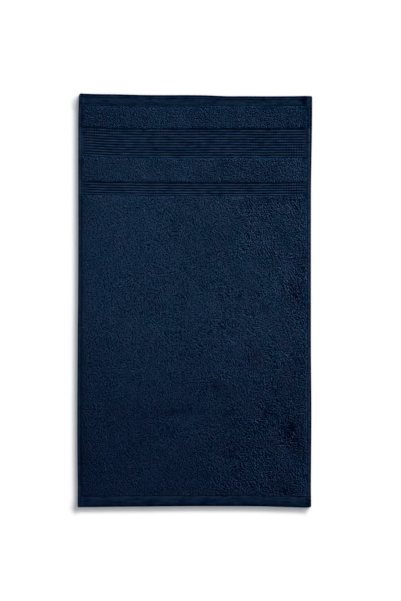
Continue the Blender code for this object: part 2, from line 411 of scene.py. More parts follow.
def makeGroundMaterial():
    material, shader, wire = startMaterial("navy_plain_weave", roughness=0.95, specular=0.0)
    place = wire.node("ShaderNodeTexCoord", output=3)
    acrossWire = wire.node("ShaderNodeSeparateXYZ", None, {0: place})
    alongWire = Wire(wire.tree, acrossWire.socket.node.outputs[1])
    turns = math.tau / weave["yarn"]
    checks = (acrossWire * turns).sine() * (alongWire * turns).sine()
    height = checks * weave["checkShare"] + wire.noise(place, weave["slub"], 2.0)
    stretch = {0: place, 1: weave["dashStretch"]}
    stretched = wire.node("ShaderNodeVectorMath", {"operation": "MULTIPLY"}, stretch)
    dashScale, dashShare = weave["dash"]
    tickScale, tickStart, tickSteep = weave["tickPatches"]
    dash = wire.noise(stretched, dashScale, 1.0)
    patches = wire.noise(place, tickScale, 0.0)
    ribs = wire.attribute("ribShare")
    ticks = (acrossWire * (math.tau / weave["tick"])).sine()
    ticks = ticks * ((patches - tickStart) * tickSteep).within(0.0, 1.0) * ribs
    broken = (dash - 0.5) * dashShare * (1.0 - ribs * weave["ribCalm"])
    uneven = (height - 0.5) * weave["toneShare"] + broken + ticks * weave["tickShare"]
    tone = wire.attribute("tone")
    shown = (tone + uneven * (tone + weave["toneFloor"])) * (1 / dye["groundTop"])
    feed(dyedColour(wire, shown, dye["ground"]), shader, "Base Color")
    bump = wire.node("ShaderNodeBump", None, {"Height": height, "Distance": weave["depth"], "Strength": 1.0})
    feed(bump, shader, "Normal")
    return material


# painted shade: the cloth is painted darker towards the -Y end, as if the light fell off there
paintedFalloff = {
    "place": 466 * mm,
    "softness": 66 * mm,
    "steps": (0.46, 0.37),  # at the left and at the right side
    "slope": 0.15,
    "leftFall": 0.30,  # how much darker the pile turns beside the left hem
    "leftReach": 45 * mm,
    "leftAlong": ([0, 350 * mm], [0.6, 1]),
    "onGround": 0.35,  # how much of it the woven ground shows
}

# lighter and darker patches: across, along, half width, half length, change in thousandths
lays = np.array([
    (256, 196, 120, 16, 90),
    (122, 388, 50, 44, 100),
    (192, 430, 24, 60, -110),
    (205, 505, 22, 40, -70),
    (122, 545, 44, 34, -90),
    (118, 690, 60, 26, -130),
    (28, 560, 26, 80, 130),
    (342, 446, 40, 16, 200),
    (318, 622, 56, 46, 200),
    (380, 600, 16, 34, -220),
    (352, 350, 34, 26, -110),
    (340, 275, 40, 50, -120),
    (385, 290, 18, 20, -180),
    (365, 365, 30, 25, -120),
    (340, 410, 40, 25, 130),
    (150, 400, 30, 40, 100),
    (370, 575, 30, 35, -150),
    (165, 535, 30, 15, -80),
    (80, 480, 50, 50, 70),
]) * mm


# painted shade: the share of light left on the cloth, with the patches and the darker strip beside the left
# hem in it
def brushedShare(across, along):
    turned = 1 / (1 + np.exp((paintedFalloff["place"] - along) / paintedFalloff["softness"]))
    step = np.interp(across, [0, clothWidth], paintedFalloff["steps"])
    beside = np.exp(-across / paintedFalloff["leftReach"]) * np.interp(along, *paintedFalloff["leftAlong"])
    share = 1 - step * turned - paintedFalloff["slope"] * along / clothLength
    for lay in lays:
        share = share * (1 + lay[4] * spotShare(across, along, lay))
    return share * (1 - paintedFalloff["leftFall"] * beside)


# the woven ground: one closed sheet with its hems, selvages and ribs
ground = {
    "columnStep": 4.0 * mm,
    "rowStep": 4.5 * mm,
    "ribRows": 8,
    "hemTop": 2.5 * mm,
    "seamTop": 1.95 * mm,
    "besideSeam": 2.25 * mm,
    "footTop": 1.95 * mm,
    "terryGround": 1.8 * mm,
    "terryUnder": 0.9 * mm,
    "terryEdge": 1.2 * mm,  # over which a pile zone's ground comes to its own height
    # painted shade: the ground under the loops is painted darker, as the gaps between them
    "terryGroundShade": 0.2,
    "ribTop": 2.6 * mm,
    "grooveTop": 1.75 * mm,
    "borderUnder": 0.8 * mm,
    "grooveUnder": 0.25 * mm,  # how much higher the underside stands below a groove
    "ribShape": 0.8,  # under 1 for a rounder rib
    "ribStop": 0.3 * mm,  # from the last row of ribs to the end of a border
    "ribApart": (0.37, 0.61),  # steps in the noise from rib to rib, so that no two are uneven alike
    # painted shade: the grooves between ribs are painted darker than the ridges; darkest and lightest tone
    "ribShadeTones": (0.16, 0.88),
    # painted light: the first strip of a border is painted lighter, where the pile beside it casts its shadow
    "borderStart": [(0.0, 0.55, 0.2 * mm, 1.0), (0.5, 0.60, 0.4 * mm, 0.4)],  # place, tone, underside, fray
    "middleTone": 0.56,
    "ribAcross": ([0, 120 * mm, 300 * mm], [0.86, 0.94, 1.05]),  # how high and clear the ribs are
    "tickAside": ([0, 35 * mm, 70 * mm], [1.0, 0.9, 0.3]),  # how clear their warp lines are beside a side hem
    "cornerExtra": 0.4 * mm,
    "cornerRadius": 2.2 * mm,
    "roundReach": 3.0 * mm,
    "edgeRound": 1.25,  # how much higher than a side hem's own round edge the ends may stand there
    "edgeLift": ([0.0, 0.25 * mm, 0.9 * mm, 2.0 * mm], [0.97 * mm, 0.45 * mm, 0.10 * mm, 0.0]),
    # painted shade in the sewn groove of the side hems, and painted light in that of the end hems, where the
    # value is below zero
    "seamShade": (0.95, 0.60, -0.25, -0.45),  # how much darker its groove is: left, right, +Y, -Y
    "seamReach": 1.0 * mm,
    "plainLift": (0.60, 0.06),  # how much lighter the left and the right hem are beside a border
    "plainPlace": (3.6 * mm, 1.2 * mm),  # where they are lightest, and how far around
    # painted shade on the right hem: darker along the cloth, and darker again beside the first pile band
    "rightShadeAlong": ([300 * mm, 420 * mm], [1.0, 0.75]),  # how the right hem darkens along the cloth
    "rightTopShade": 0.45,  # its share of light beside the first pile band
    "cornerTone": ([0, 6 * mm, 8 * mm, 9.5 * mm, 15 * mm, 19 * mm], [0.0, 0.35, 0.0, -0.38, -0.38, 0.0]),
}

# how uneven the ground is: size of the bumps, strength, number of the noise
groundNoise = {
    "ribPlace": (14 * mm, 0.10 * mm, 0),
    "ribHeight": (9 * mm, 0.10, 1),
    "terryLumps": (5 * mm, 0.15 * mm, 2),
    "ripple": (11 * mm, 0.06 * mm, 3),
    "tone": (7 * mm, 0.05, 4),
}

# tone of a hem, painted darker on its round outer edge and with a painted highlight along its crest: distance
# from the edge in mm, left hem, right hem, +Y hem, -Y hem
hemToneWithPaintedLight = np.array([
    (0.0, 0.44, 0.00, 0.10, 0.12),
    (0.9, 0.50, 0.06, 0.10, 0.15),
    (1.6, 0.58, 0.22, 0.00, 0.18),
    (2.3, 0.62, 0.28, -0.12, 0.20),
    (3.0, 0.62, 0.70, 0.10, 0.22),
    (3.8, 0.60, 1.90, 0.78, 0.25),
    (4.6, 0.50, 1.80, 0.66, 0.28),
    (5.4, 0.36, 0.50, 0.00, 0.31),
    (6.4, 0.42, 0.55, 0.30, 0.36),
    (7.2, 0.50, 0.72, 0.46, 0.40),
    (9.0, 0.50, 0.70, 0.47, 0.44),
    (12.0, 0.50, 0.70, 0.50, 0.48),
    (20.0, 0.50, 0.70, 0.62, 0.56),
])

# the round edge of every hem: distance from the edge, height
hemEdge = [
    (0.0, 1.2 * mm),
    (0.25 * mm, 1.9 * mm),
    (0.9 * mm, 2.28 * mm),
    (1.6 * mm, 2.42 * mm),
    (2.3 * mm, 2.47 * mm),
    (3.0 * mm, ground["hemTop"]),
    (3.8 * mm, ground["hemTop"]),
]

# beside a side hem: distance from it, share of the pile, then tone and share of the ribs, left and right
besideHem = [
    (0.6 * mm, 0.5, (0.40, 0.00), (0.40, 0.00)),
    (1.2 * mm, 1.0, (0.52, 0.00), (0.52, 0.00)),
    (2.4 * mm, 1.0, (0.42, 0.30), (0.60, 0.15)),
    (4.0 * mm, 1.0, (0.34, 0.50), (0.55, 0.70)),
    (6.0 * mm, 1.0, (0.28, 0.60), (0.50, 1.00)),
    (13.0 * mm, 1.0, (0.36, 0.75), (0.50, 1.00)),
]

# the sewn groove: distance from its middle, height
hemSeam = [
    (-1.4 * mm, ground["hemTop"]),
    (-0.7 * mm, 2.4 * mm),
    (0.0, ground["seamTop"]),
    (0.5 * mm, ground["besideSeam"]),
    (0.9 * mm, ground["besideSeam"]),
]


# from an edge inwards: distance, height, tone
def hemProfile(hem, strip, whichHem):
    inner = hem - strip
    profile = list(hemEdge)
    if whichHem > 1:  # an end hem is wide enough for all the places where its tone changes
        profile += [(far * mm, ground["hemTop"]) for far in hemToneWithPaintedLight[6:-1, 0]]
    profile += [(inner + far, high) for far, high in hemSeam if far < strip - 0.1 * mm]
    profile.append((hem, ground["footTop"]))
    made = []
    for far, high in profile:
        tone = np.interp(far / mm, hemToneWithPaintedLight[:, 0], hemToneWithPaintedLight[:, 1 + whichHem])
        seam = max(0.0, 1 - abs(far - inner) / ground["seamReach"])
        made.append((far, high, tone * (1 - ground["seamShade"][whichHem] * seam)))
    return made


def spread(low, high, step):
    count = max(2, round((high - low) / step))
    return [low + (high - low) * k / count for k in range(1, count)]


# columns: across, height and tone at a side, share of the pile, share of the ribs
def sheetColumns():
    made = []
    for hem, whichHem in ((cloth["leftHem"], 0), (cloth["rightHem"], 1)):
        profile = hemProfile(hem, cloth["sideStitch"], whichHem)
        side = [(far, high, tone, 0.0, 0.0) for far, high, tone in profile]
        for far, pileShare, *looks in besideHem:
            tone, ribShare = looks[whichHem]
            side.append((hem + far, ground["footTop"], tone, pileShare, ribShare))
        if whichHem:
            side = [(clothWidth - column[0], *column[1:]) for column in side][::-1]
        made.append(side)
    left, right = made
    inside = spread(left[-1][0], right[0][0], ground["columnStep"])
    middle = [(across, ground["footTop"], ground["middleTone"], 1.0, 1.0) for across in inside]
    return np.array(left + middle + right)


# rows: along, kind (0 hem, 1 terry, 2 border), height, tone, underside, share of fray, rib number
def hemRows(start, length, strip, last):
    profile = hemProfile(length, strip, 3 if last else 2)[:-1]
    if last:
        profile = [(length - far, high, tone) for far, high, tone in profile[::-1]]
    return [(start + far, 0, high, tone, 0.0, 0.0, 0) for far, high, tone in profile]


def terryRows(start, length):
    edge, tone, frayed = ground["terryEdge"], ground["terryGroundShade"], cloth["startFray"]
    top, under = ground["terryGround"], ground["terryUnder"]
    rows = [(start, 1, ground["footTop"], tone, 0.0, frayed, 0)]
    rows.append((start + edge, 1, top, tone, under, frayed, 0))
    for far in spread(edge, length - edge, ground["rowStep"]):
        rows.append((start + far, 1, top, tone, under, 0.0, 0))
    return rows + [(start + length - edge, 1, top, tone, under, 1.0, 0)]


def borderRows(start, length, ribs, strip):
    pitch = (length - strip + cloth["ribTail"]) / ribs
    low, high = ground["grooveTop"], ground["ribTop"]
    darkest, lightest = ground["ribShadeTones"]
    rows = []
    for share, tone, under, frayed in ground["borderStart"]:
        rows.append((start + strip * share, 2, low, tone, under, frayed, 0))
    for step in range(ribs * ground["ribRows"]):
        turn = step / ground["ribRows"]
        far = strip + turn * pitch
        if far > length - ground["ribStop"]:
            break
        ridge = (0.5 - 0.5 * math.cos(math.tau * turn)) ** ground["ribShape"]
        hollow = ground["borderUnder"] + ground["grooveUnder"] * (1 - ridge)
        tone = darkest + (lightest - darkest) * ridge
        rows.append((start + far, 2, low + (high - low) * ridge, tone, hollow, 0.0, 1 + int(turn)))
    return rows


def sheetRows():
    rows = []
    for k, (kind, length, ribs, strip) in enumerate(cloth["zones"]):
        if kind == "hem":
            rows += hemRows(starts[k], length, strip, k > 0)
        elif kind == "terry":
            rows += terryRows(starts[k], length)
        else:
            rows += borderRows(starts[k], length, ribs, strip)
    return np.array(rows)


def roundCorners(across, along, radius):
    for flipX in (False, True):
        for flipY in (False, True):
            a = clothWidth - across if flipX else across
            b = clothLength - along if flipY else along
            near = (a < radius) & (b < radius)
            u, v = 1 - a / radius, 1 - b / radius
            newA = radius * (1 - u * np.sqrt(np.clip(1 - v * v / 2, 0, 1)))
            newB = radius * (1 - v * np.sqrt(np.clip(1 - u * u / 2, 0, 1)))
            across = np.where(near, clothWidth - newA if flipX else newA, across)
            along = np.where(near, clothLength - newB if flipY else newB, along)
    return across, along


def sheetHeights(across, along, column, row, isTop, sideProfile):
    _, sideTop, _, pileShare, ribShare = column
    _, kind, rowTop, _, rowUnder, _, rib = row
    hemHigh = rowTop + ground["cornerExtra"] * (1 - pileShare) * rowTop / ground["hemTop"]
    terryHigh = sideTop + (rowTop - sideTop + softNoise(across, along, groundNoise["terryLumps"])) * pileShare
    uneven = 1 + softNoise(across, along + rib * ground["ribApart"][1], groundNoise["ribHeight"])
    ribHigh = ground["grooveTop"] + (rowTop - ground["grooveTop"]) * uneven
    borderHigh = sideTop + (ribHigh - sideTop) * ribShare
    top = np.choose(kind.astype(int), [hemHigh, terryHigh, borderHigh])
    atSide = np.minimum(across, clothWidth - across)
    edge = np.minimum(atSide, np.minimum(along, clothLength - along))
    rounded = np.interp(atSide, *sideProfile) * ground["edgeRound"]
    top = np.where(atSide < ground["roundReach"], np.minimum(top, rounded), top)
    top = top + softNoise(across, along, groundNoise["ripple"]) * np.clip(edge / (2 * mm), 0, 1)
    under = np.where(kind == 0, 0.0, rowUnder * np.where(kind == 1, pileShare, ribShare))
    return np.where(isTop, top, np.maximum(under, np.interp(edge, *ground["edgeLift"])))


def sheetTones(across, along, column, row):
    _, _, sideTone, pileShare, ribShare = column
    _, kind, _, rowTone, *_ = row
    atSide, fromRight = np.minimum(across, clothWidth - across), clothWidth - across
    inRightHem = fromRight < cloth["rightHem"]
    lightest, around = ground["plainPlace"]
    plain = np.where(across > clothWidth / 2, ground["plainLift"][1], ground["plainLift"][0])
    plain = plain * (0.2 + 0.8 * np.exp(-((atSide - lightest) / around) ** 2))
    tone = np.choose(kind.astype(int), [
        np.minimum(rowTone, sideTone + 0.1),
        sideTone + (rowTone - sideTone) * np.clip(pileShare, 0, 1),
        sideTone + plain * (1 - ribShare) + (rowTone - sideTone) * ribShare,
    ])
    tone = tone * np.where(inRightHem, np.interp(along, *ground["rightShadeAlong"]), 1.0)
    tone = tone + np.where(along < starts[1], np.interp(fromRight, *ground["cornerTone"]), 0)
    tone = tone + softNoise(across, along, groundNoise["tone"])
    return np.where((kind == 1) & (along < starts[2]) & inRightHem, ground["rightTopShade"] * tone, tone)


def makeSheet(material):
    columns, rows = sheetColumns(), sheetRows()
    clearSelection()
    bpy.ops.mesh.primitive_grid_add(x_subdivisions=len(columns) - 1, y_subdivisions=len(rows) - 1, size=1)
    sheet = startPiece("towelCloth")
    thickness = 0.01
    sheet.modifiers.new("thickness", "SOLIDIFY").thickness = thickness
    applyModifiers(sheet)
    table = vertTable(sheet.data)
    isTop = table[:, 2] > -thickness / 2
    column = columns[np.rint((table[:, 0] + 0.5) * (len(columns) - 1)).astype(int)].T
    row = rows[np.rint((0.5 - table[:, 1]) * (len(rows) - 1)).astype(int)].T
    across, pileShare = column[0], column[3]
    along, kind, frayShare, rib = row[0], row[1], row[5], row[6]
    along = along - frayShare * fray(across) * np.minimum(pileShare, 1)
    ribPlace = softNoise(across, along + rib * ground["ribApart"][0], groundNoise["ribPlace"])
    along = along + np.where(kind == 2, ribPlace * column[4], 0)
    column[4] *= np.interp(across, *ground["ribAcross"])
    sideProfile = columns[:6, 0], columns[:6, 1]
    high = sheetHeights(across, along, column, row, isTop, sideProfile)
    across, along = roundCorners(across, along, ground["cornerRadius"])
    x, y = clothPlace(across, along)
    setVerts(sheet.data, np.stack([x, y, high], axis=1))
    addValues(sheet.data, "tone", "FLOAT", sheetTones(across, along, column, row))
    addValues(sheet.data, "shade", "FLOAT", 1 - paintedFalloff["onGround"] * (1 - brushedShare(across, along)))
    ticked = np.interp(np.minimum(across, clothWidth - across), *ground["tickAside"])
    addValues(sheet.data, "ribShare", "FLOAT", np.where(kind == 2, column[4] * ticked, 0))
    layBakeMap(sheet, span=0.84, twoSided=True)
    finishPiece(sheet, material)
    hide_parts("towel_cloth")
    print("ground:", len(columns), "columns,", len(rows), "rows,", len(sheet.data.polygons), "faces")
    return sheet


# a flat map seen from above, leaning a little with height so that upright faces keep some width on it
# it is one span wide, and a two-sided piece has its underside turned over on the right half
def layBakeMap(piece, span, twoSided=False):
    mesh = piece.data
    table = vertTable(mesh)
    corners = np.empty(len(mesh.loops), int)
    mesh.loops.foreach_get("vertex_index", corners)
    place = table[corners]
    lean = 0.5
    u = (place[:, 0] + place[:, 2] * lean) / span
    v = (place[:, 1] + place[:, 2] * lean) / span
    if twoSided:
        counts = np.empty(len(mesh.polygons), int)
        mesh.polygons.foreach_get("loop_total", counts)
        normals = np.empty(len(mesh.polygons) * 3)
        mesh.polygons.foreach_get("normal", normals)
        down = np.repeat(normals.reshape(-1, 3)[:, 2] < -0.2, counts)
        u = np.where(down, 0.75 - u, 0.25 + u)
        v = v + 0.5
    else:
        u = u - u.min() + 0.01
        v = v - v.min() + 0.01
    layer = mesh.uv_layers.new(name="OFBake")
    layer.data.foreach_set("uv", np.stack([u, v], axis=1).astype(np.float32).ravel())


# terry loops: one is modelled, and Geometry Nodes sets it on every foot
loopShape = {
    "yarn": 0.80 * mm,  # half the yarn's width
    "crown": 1.5 * mm,  # length of its level top
    "height": 2.0 * mm,
    "foot": 1.7 * mm,  # from the middle to a foot
}


def modelLoop():
    clearSelection()
    half = loopShape["crown"] / 2
    bpy.ops.mesh.primitive_cylinder_add(
        vertices=3, radius=loopShape["yarn"], depth=2 * half, end_fill_type="TRIFAN",
        rotation=(0, math.radians(90), 0),
    )
    loop = startPiece("loopPattern")
    bpy.ops.object.transform_apply(location=False, rotation=True, scale=False)
    peak = max((vert.co for vert in loop.data.vertices), key=lambda co: co.z)
    bpy.ops.object.mode_set(mode="EDIT")
    bpy.ops.mesh.select_all(action="SELECT")
    turn = math.atan2(peak.y, peak.z)
    bpy.ops.transform.rotate(value=-turn, orient_axis="X", center_override=(0, 0, 0))
    bpy.ops.transform.translate(value=(0, 0, loopShape["height"] - loopShape["yarn"]))
    bpy.ops.object.mode_set(mode="OBJECT")
    middle, near = loopShape["height"] - loopShape["yarn"], 0.01 * mm
    for side in (-1, 1):
        pickVerts(loop, lambda co: abs(co.y) < near and abs(co.z - middle) < near and co.x * side > 0)
        bpy.ops.transform.translate(value=(side * (loopShape["foot"] - half), 0, -middle))
        bpy.ops.object.mode_set(mode="OBJECT")
    loop.data.shade_smooth()
    return loop


def scatterGroup(name, pattern):
    group = bpy.data.node_groups.new(name, "GeometryNodeTree")
    group.interface.new_socket(name="Geometry", in_out="INPUT", socket_type="NodeSocketGeometry")
    group.interface.new_socket(name="Geometry", in_out="OUTPUT", socket_type="NodeSocketGeometry")
    wire = Wire(group)
    feet = wire.node("NodeGroupInput")
    shape = wire.node("GeometryNodeObjectInfo", None, {"Object": pattern}, "Geometry")
    kind = {"data_type": "FLOAT_VECTOR"}
    turn = wire.node("GeometryNodeInputNamedAttribute", kind, {"Name": "turn"}, "Attribute")
    size = wire.node("GeometryNodeInputNamedAttribute", kind, {"Name": "size"}, "Attribute")
    values = {"Points": feet, "Instance": shape, "Rotation": turn, "Scale": size}
    copies = wire.node("GeometryNodeInstanceOnPoints", None, values)
    solid = wire.node("GeometryNodeRealizeInstances", None, {0: copies})
    wire.node("NodeGroupOutput", None, {0: solid})
    return group


def scatter(name, pattern, places, turns, sizes, tones, pressed, shades):
    clearSelection()
    count = len(places)
    wide = math.ceil(math.sqrt(count))
    tall = math.ceil(count / wide)
    bpy.ops.mesh.primitive_grid_add(x_subdivisions=wide - 1, y_subdivisions=tall - 1, size=1)
    piece = startPiece(name)
    bpy.ops.object.mode_set(mode="EDIT")
    bpy.ops.mesh.select_all(action="SELECT")
    bpy.ops.mesh.delete(type="EDGE_FACE")
    bpy.ops.object.mode_set(mode="OBJECT")
    for vert in piece.data.vertices:
        vert.select = vert.index >= count
    bpy.ops.object.mode_set(mode="EDIT")
    bpy.ops.mesh.delete(type="VERT")
    bpy.ops.object.mode_set(mode="OBJECT")
    setVerts(piece.data, places)
    addValues(piece.data, "turn", "FLOAT_VECTOR", turns)
    addValues(piece.data, "size", "FLOAT_VECTOR", sizes)
    addValues(piece.data, "tone", "FLOAT", tones)
    addValues(piece.data, "pressed", "FLOAT", pressed)
    addValues(piece.data, "shade", "FLOAT", shades)
    nodes = piece.modifiers.new("copies", "NODES")
    nodes.node_group = scatterGroup(name + "Copies", pattern)
    applyModifiers(piece)
    bpy.data.node_groups.remove(bpy.data.node_groups[name + "Copies"])
    for spent in ("turn", "size"):
        if spent in piece.data.attributes:
            piece.data.attributes.remove(piece.data.attributes[spent])
    return piece


pile = {
    "pitch": 2.2 * mm,
    "scatter": 0.32,  # how far a loop's foot strays, in pitches
    "overHem": (0.4 * mm, 0.3 * mm),  # how far the feet reach onto the left and the right hem
    "endGap": 0.6 * mm,
    "endReach": 2.5 * mm,  # how far in the frayed ends are felt
    "creep": ([120 * mm, 220 * mm, 400 * mm], [0, 1.3 * mm, 2.4 * mm]),  # of the first band onto its hem
    "creepReach": 7 * mm,
    "inset": [0.0, 1.2 * mm, 4.0 * mm],  # distances from a zone's edge for the two lists below
    "tops": [2.5 * mm, 3.0 * mm, 3.4 * mm],
    "swelling": [0.45, 0.78, 1.0],
    "looseTop": 0.24 * mm,  # how much single loops stand out
    "patchHeight": 0.14 * mm,
    "tuftHeight": 0.12 * mm,
    "footDepth": 0.25 * mm,  # how far a foot goes into the ground
    "widths": (0.85, 1.2),  # least and most, beside the loop that is modelled
    "lengths": (0.8, 1.2),
    "lean": 24.0,  # degrees
    "leanAside": (-0.7, 0.0),  # share of it at the left and the right side
    "bandLean": 0.5,
    "patchLean": 0.35,
    "dentLean": 0.8,
    "tiltSpread": 0.25,  # radians
    "turnSpread": 0.6,
    "nap": -125.0,  # degrees: the way they lean
    "course": 4.0 * mm,  # from one furrow to the next
    "push": 0.5 * mm,  # how far loops gather out of the furrows
    "pushReach": 3.0 * mm,  # less of it this near to a zone's edge
    "pushMost": 1.2,  # at most, where the pile is rough
    "furrow": 0.29 * mm,  # how much lower they stand in them
    "tone": 0.62,
    # painted shade: grainTone, patchTone and tuftTone make lower loops darker and higher ones lighter
    "grainTone": 0.21,
    "loopTone": 0.15,
    "patchTone": 0.08,
    "tuftTone": 0.12,
    # painted shade in the pressed places
    "dentShade": 0.80,
    "dentRough": 1.3,
    "bandCalm": (0.20, 0.46),  # how uneven each pile band is beside the main field
    "bandTone": (0.12, 0.05),  # how much darker each is
    "roughAcross": ([0.0, 150 * mm, 300 * mm, 400 * mm], [0.58, 0.84, 0.98, 1.05]),
    "roughLeft": ([180 * mm, 350 * mm, 600 * mm], [-0.14, 0, 0.14]),  # how it grows along the left side
    "roughAlong": ([180 * mm, 320 * mm], [0.82, 1.0]),
    "roughMiddle": 0.95,
    "roughRange": (0.5, 1.6),
    "broadAcross": ([0, 250 * mm, 330 * mm, 400 * mm], [0.05, 0.15, 0.4, 0.65]),
    # painted shade beside the right hem and where a zone starts, painted light where the main field ends
    "rightPaintedShade": ([0, 3 * mm, 6 * mm, 9 * mm], [0.20, 0.28, 0.20, 0.0]),  # beside the right hem
    "rightAlong": ([150 * mm, 350 * mm, 450 * mm], [0.9, 0.9, 0.5]),
    "startPaintedShade": ([0, 2.4 * mm, 4 * mm], [0.30, 0.22, 0.0]),  # where a zone starts
    "endPaintedLight": ([0, 2.4 * mm, 4 * mm], [0.40, 0.20, 0.0]),  # where the main field ends
}
streaks = [(-60, 1.3), (-38, 1.3), (90, 0.55), (2, 0.5), (47, 0.2)]  # direction in degrees, share

# how uneven the pile is: size of the bumps, strength, number of the noise
pileNoise = {
    "bend": (6.0 * mm, 2.0, 20),  # and one number more for each streak after it
    "mix": (8.5 * mm, 3.2, 30),
    "end": (4 * mm, 0.35 * mm, 50),
    "broad": (24 * mm, 1.0, 60),
    "patch": (9 * mm, 0.5, 61),
    "nap": (38 * mm, 0.6, 62),
    "tuft": (4.5 * mm, 1.0, 63),
    "rough": (17 * mm, 0.5, 64),
}


def nextNoise(kind, steps):
    return kind[0], kind[1], kind[2] + steps


# loops gather in short worm-like rows that change direction from patch to patch
def furrows(x, y):
    crest, pushX, pushY, weights, double = 0, 0, 0, 0, 0
    for k, (degrees, share) in enumerate(streaks):
        turn = math.radians(degrees)
        sideX, sideY = -math.sin(turn), math.cos(turn)
        bend = softNoise(x, y, nextNoise(pileNoise["bend"], k))
        phase = math.tau * (x * sideX + y * sideY) / pile["course"] + bend
        weight = share * np.exp(softNoise(x, y, nextNoise(pileNoise["mix"], k)))
        crest = crest + weight * np.sin(phase)
        pushX = pushX + weight * np.cos(phase) * sideX
        pushY = pushY + weight * np.cos(phase) * sideY
        double = double + weight * np.exp(2j * turn)
        weights = weights + weight
    return crest / weights, pushX / weights, pushY / weights, np.angle(double) / 2


# where the loops of one zone stand, and how far each is from the zone's edge
def feetOfZone(k, pitch, random):
    start, length = starts[k], cloth["zones"][k][1]
    low, high = cloth["leftHem"] - pile["overHem"][0], clothWidth - cloth["rightHem"] + pile["overHem"][1]
    inside = length - 2 * pile["endGap"]
    wide, tall = round((high - low) / pitch), round(inside / pitch)
    i, j = np.meshgrid(np.arange(wide), np.arange(tall))
    i, j = i.ravel(), j.ravel()
    across = low + (high - low) * (i + 0.25 + 0.5 * (j % 2)) / wide
    along = start + pile["endGap"] + inside * (j + 0.5) / tall
    across = across + random.uniform(-pile["scatter"], pile["scatter"], len(i)) * pitch
    along = along + random.uniform(-pile["scatter"], pile["scatter"], len(i)) * pitch
    fromEnd = np.clip(np.minimum(along - start, start + length - along), 0, None)
    atFoot = along > start + length / 2
    uneven = fray(across) + softNoise(across, along * 0, nextNoise(pileNoise["end"], k))
    along = along - uneven * np.exp(-fromEnd / pile["endReach"]) * np.where(atFoot, 1.0, cloth["startFray"])
    if k == 1:
        creep = np.interp(across, *pile["creep"]) * np.exp(-fromEnd / pile["creepReach"])
        along = along - creep * np.where(atFoot, 0.5, 1.0)
    fromSide = np.minimum(across - cloth["leftHem"], clothWidth - cloth["rightHem"] - across)
    return across, along, np.clip(np.minimum(fromEnd, fromSide), 0, None)


# how uneven the pile is from place to place
def pileRough(across, along, x, y, dent):
    rough = np.interp(across, *pile["roughAcross"]) * (1 + pile["dentRough"] * dent)
    field = 1 + np.interp(along, *pile["roughLeft"]) * (1 - across / clothWidth)
    field = field * np.interp(along, *pile["roughAlong"])
    rough = rough * np.select([along < starts[2], along < starts[5]], pile["bandCalm"], field)
    return rough * np.clip(pile["roughMiddle"] + softNoise(x, y, pileNoise["rough"]), *pile["roughRange"])


# how much darker the pile is in the bands, with painted shade beside the right hem and where a zone starts,
# and painted light where the main field ends
def pileDark(across, along):
    dark = np.select([along < starts[2], along < starts[4]], pile["bandTone"], 0.0)
    fromRight = clothWidth - cloth["rightHem"] - across
    dark = dark + np.interp(fromRight, *pile["rightPaintedShade"]) * np.interp(along, *pile["rightAlong"])
    zoneStart = starts[np.clip(np.searchsorted(starts, along) - 1, 0, len(starts) - 1)]
    dark = dark + np.interp(along - zoneStart, *pile["startPaintedShade"])
    return dark - np.interp(starts[6] - along, *pile["endPaintedLight"])


def makePile(names, zones, pattern, material, random):
    parts = [feetOfZone(k, pile["pitch"], random) for k in zones]
    across, along, inset = (np.concatenate([part[n] for part in parts]) for n in range(3))
    x, y = clothPlace(across, along)
    grain, pushX, pushY, heading = furrows(x, y)
    count = len(x)
    dent = dentDepth(across, along) / mm
    rough = pileRough(across, along, x, y, dent)
    grain = grain * rough
    broad = np.interp(across, *pile["broadAcross"]) * softNoise(x, y, pileNoise["broad"])
    patch = broad + softNoise(x, y, pileNoise["patch"])
    tuft = softNoise(x, y, pileNoise["tuft"]) * rough
    swell = pileShape(across, along) + grain * pile["furrow"]
    swell = swell + patch * pile["patchHeight"] + tuft * pile["tuftHeight"]
    top = np.interp(inset, pile["inset"], pile["tops"])
    top = top + swell * np.interp(inset, pile["inset"], pile["swelling"])
    top = top + random.uniform(-pile["looseTop"], pile["looseTop"], count) * rough
    low = np.full(count, ground["terryGround"] - pile["footDepth"])
    yaw = heading + random.normal(0, pile["turnSpread"], count)
    nap = math.radians(pile["nap"]) + softNoise(x, y, pileNoise["nap"])
    leaning = np.interp(across, [0, clothWidth], pile["leanAside"])
    leaning = leaning * np.where(along < starts[5], pile["bandLean"], 1.0)
    leaning = leaning + patch * pile["patchLean"] - dent * pile["dentLean"]
    tilt = math.radians(pile["lean"]) * leaning + random.normal(0, pile["tiltSpread"], count)
    turns = np.stack([-tilt * np.sin(nap - yaw), tilt * np.cos(nap - yaw), yaw], axis=1)
    tall = (top - low) / loopShape["height"] / np.cos(np.clip(tilt, -1, 1))
    wide = random.uniform(*pile["widths"], count)
    sizes = np.stack([random.uniform(*pile["lengths"], count), wide, tall], axis=1)
    # painted shade: loops lower in the furrows, patches and tufts are darker, higher ones lighter; each loop
    # also has a random tone
    tones = pile["tone"] + pile["grainTone"] * grain + random.normal(0, pile["loopTone"], count) * rough
    tones = tones + patch * pile["patchTone"] + tuft * pile["tuftTone"]
    tones = tones - dent * pile["dentShade"] - pileDark(across, along)
    shades = brushedShare(across, along)
    push = pile["push"] * np.clip(inset / pile["pushReach"], 0, 1) * np.minimum(rough, pile["pushMost"])
    places = np.stack([x + push * pushX, y + push * pushY, low], axis=1)
    pieces = []
    order = np.argsort(-y, kind="stable")
    for name, chosen in zip(names, np.array_split(order, len(names))):
        picked = [values[chosen] for values in (places, turns, sizes, tones, dent, shades)]
        piece = scatter(name, pattern, *picked)
        layBakeMap(piece, span=0.42)
        finishPiece(piece, material)
        pieces.append(piece)
        print("pile:", name, len(chosen), "loops,", len(piece.data.polygons), "faces")
    return pieces


# the loops of the face that lies down, coarser and shorter
backPile = {
    "pitch": 3.8 * mm,
    "height": 0.55 * mm,
    "edgeHeight": 0.7,  # share of it beside a hem
    "widths": (1.4, 1.9),
    "lengths": (1.3, 1.7),
    "tone": 0.55,
    "grainTone": 0.22,
    "loopTone": 0.10,
    "shade": 0.85,
}


